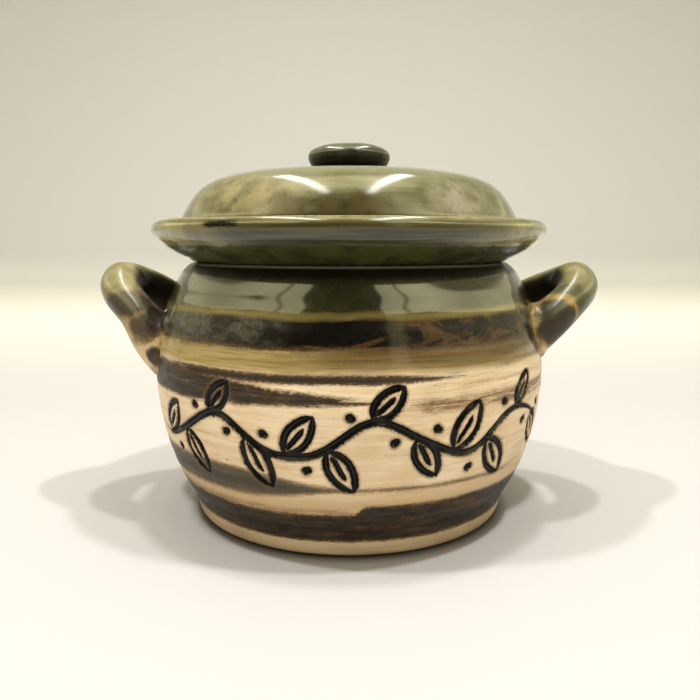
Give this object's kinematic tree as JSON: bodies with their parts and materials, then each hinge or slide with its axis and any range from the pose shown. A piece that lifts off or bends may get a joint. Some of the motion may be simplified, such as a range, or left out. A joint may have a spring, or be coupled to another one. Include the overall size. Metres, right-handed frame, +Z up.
{
  "type": "lidded crock",
  "caption": "Small squat stoneware crock with a rounded belly, ear handles tilted up from the shoulder, and a domed lid with a dished flange, a button knob and a locating collar.",
  "frame": {"origin": "middle of the foot, on the surface that the crock stands on", "axes": "+Z up along the axis on which the pot was thrown, +X towards the right-hand handle, -Y towards the front"},
  "size_m": [0.1509, 0.116, 0.1086],
  "materials": {
    "pot_glaze": "glossy, with brushed bands",
    "handle_glaze": "glossy",
    "lid_glaze": "glossy",
    "knob_glaze": "glossy",
    "bare_clay": "matt, unglazed"
  },
  "bodies": {
    "pot": {"pot_body": "pot_glaze", "left_handle": "handle_glaze", "right_handle": "handle_glaze"},
    "lid": {"lid": "lid_glaze", "lid_collar": "bare_clay", "lid_knob": "knob_glaze"}
  },
  "joints": [
    {"name": "lid_lift", "type": "slide", "parent": "pot", "child": "lid", "axis": [0, 0, 1], "range_m": [0, 0.1]}
  ]
}
